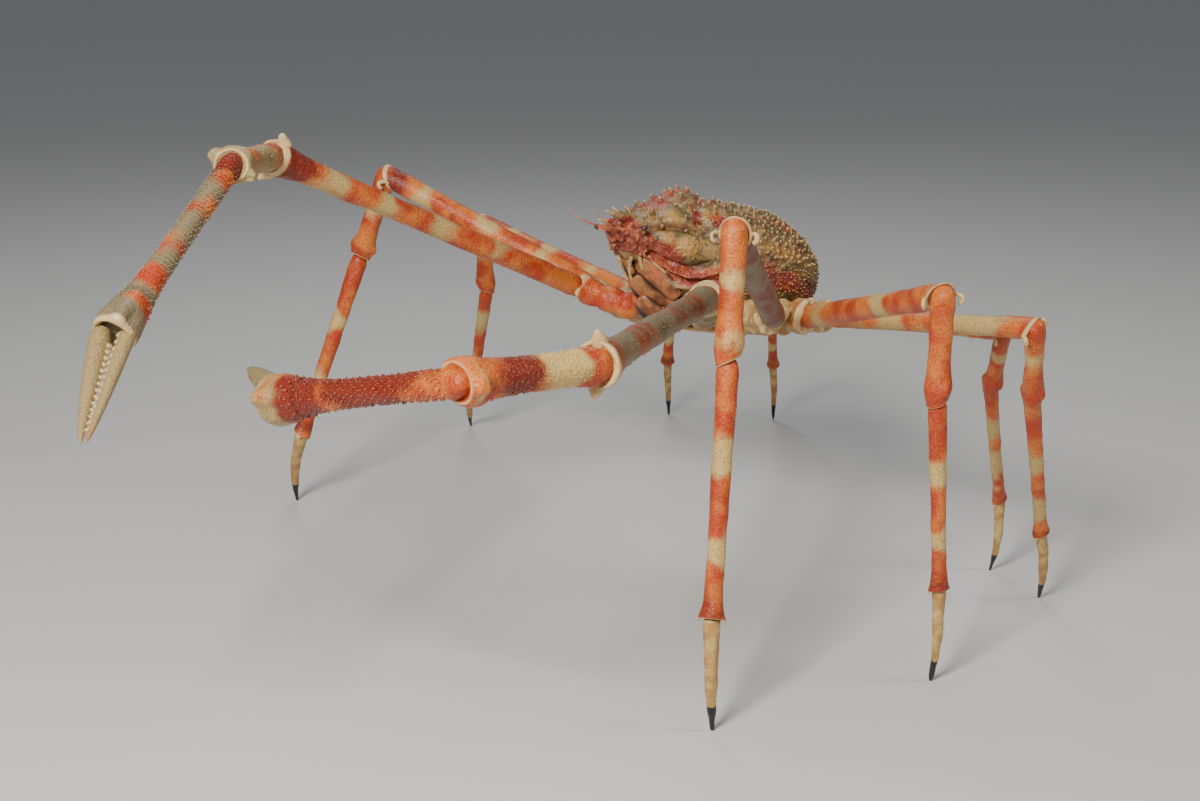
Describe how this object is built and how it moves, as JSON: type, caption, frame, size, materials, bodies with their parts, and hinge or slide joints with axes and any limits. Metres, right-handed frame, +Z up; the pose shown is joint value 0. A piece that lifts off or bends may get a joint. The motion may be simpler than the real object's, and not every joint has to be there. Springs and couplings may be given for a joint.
{
  "type": "japanese spider crab model",
  "caption": "Still life-size spider crab with a domed spiny shell, two long reaching claws and long jointed legs standing on their tips",
  "frame": {"origin": "middle of the footprint's box, at floor level", "axes": "+Z up, the crab faces -Y, its left side is +X, and the body is turned nose up and left side up"},
  "size_m": [1.2912, 1.5414, 0.6459],
  "materials": {
    "carapace_shell": "grey olive and rose shell with cream spine tips, satin",
    "belly_shell": "cream and salmon underside shell, satin",
    "mouth_plate": "orange brown mouth plates, satin",
    "eye_cornea": "dark glossy eye on a rose stalk",
    "antenna_horn": "rose horn with a pale tip",
    "claw_shell": "orange red shell with cream bands and white tubercles, semi-gloss",
    "claw_finger": "cream grey claw finger with white teeth, semi-gloss",
    "leg_shell": "orange red shell with cream bands, semi-gloss",
    "leg_tip": "tan leg tip with a black horn point"
  },
  "bodies": {
    "root": {"carapace": "carapace_shell", "breastplate": "belly_shell", "abdomen": "belly_shell", "maxilliped_L": "mouth_plate", "maxilliped_R": "mouth_plate", "eye_L": "eye_cornea", "eye_R": "eye_cornea", "antenna_L": "antenna_horn", "antenna_R": "antenna_horn", "cheliped_coxa_L": "claw_shell", "cheliped_coxa_R": "claw_shell", "cheliped_merus_L": "claw_shell", "cheliped_merus_R": "claw_shell", "cheliped_carpus_L": "claw_shell", "cheliped_carpus_R": "claw_shell", "cheliped_propodus_L": "claw_shell", "cheliped_propodus_R": "claw_shell", "cheliped_dactylus_L": "claw_finger", "cheliped_dactylus_R": "claw_finger", "leg2_coxa_L": "leg_shell", "leg2_coxa_R": "leg_shell", "leg2_merus_L": "leg_shell", "leg2_merus_R": "leg_shell", "leg2_carpus_L": "leg_shell", "leg2_carpus_R": "leg_shell", "leg2_propodus_L": "leg_shell", "leg2_propodus_R": "leg_shell", "leg2_dactylus_L": "leg_tip", "leg2_dactylus_R": "leg_tip", "leg3_coxa_L": "leg_shell", "leg3_coxa_R": "leg_shell", "leg3_merus_L": "leg_shell", "leg3_merus_R": "leg_shell", "leg3_carpus_L": "leg_shell", "leg3_carpus_R": "leg_shell", "leg3_propodus_L": "leg_shell", "leg3_propodus_R": "leg_shell", "leg3_dactylus_L": "leg_tip", "leg3_dactylus_R": "leg_tip", "leg4_coxa_L": "leg_shell", "leg4_coxa_R": "leg_shell", "leg4_merus_L": "leg_shell", "leg4_merus_R": "leg_shell", "leg4_carpus_L": "leg_shell", "leg4_carpus_R": "leg_shell", "leg4_propodus_L": "leg_shell", "leg4_propodus_R": "leg_shell", "leg4_dactylus_L": "leg_tip", "leg4_dactylus_R": "leg_tip", "leg5_coxa_L": "leg_shell", "leg5_coxa_R": "leg_shell", "leg5_merus_L": "leg_shell", "leg5_merus_R": "leg_shell", "leg5_carpus_L": "leg_shell", "leg5_carpus_R": "leg_shell", "leg5_propodus_L": "leg_shell", "leg5_propodus_R": "leg_shell", "leg5_dactylus_L": "leg_tip", "leg5_dactylus_R": "leg_tip"}
  },
  "joints": []
}
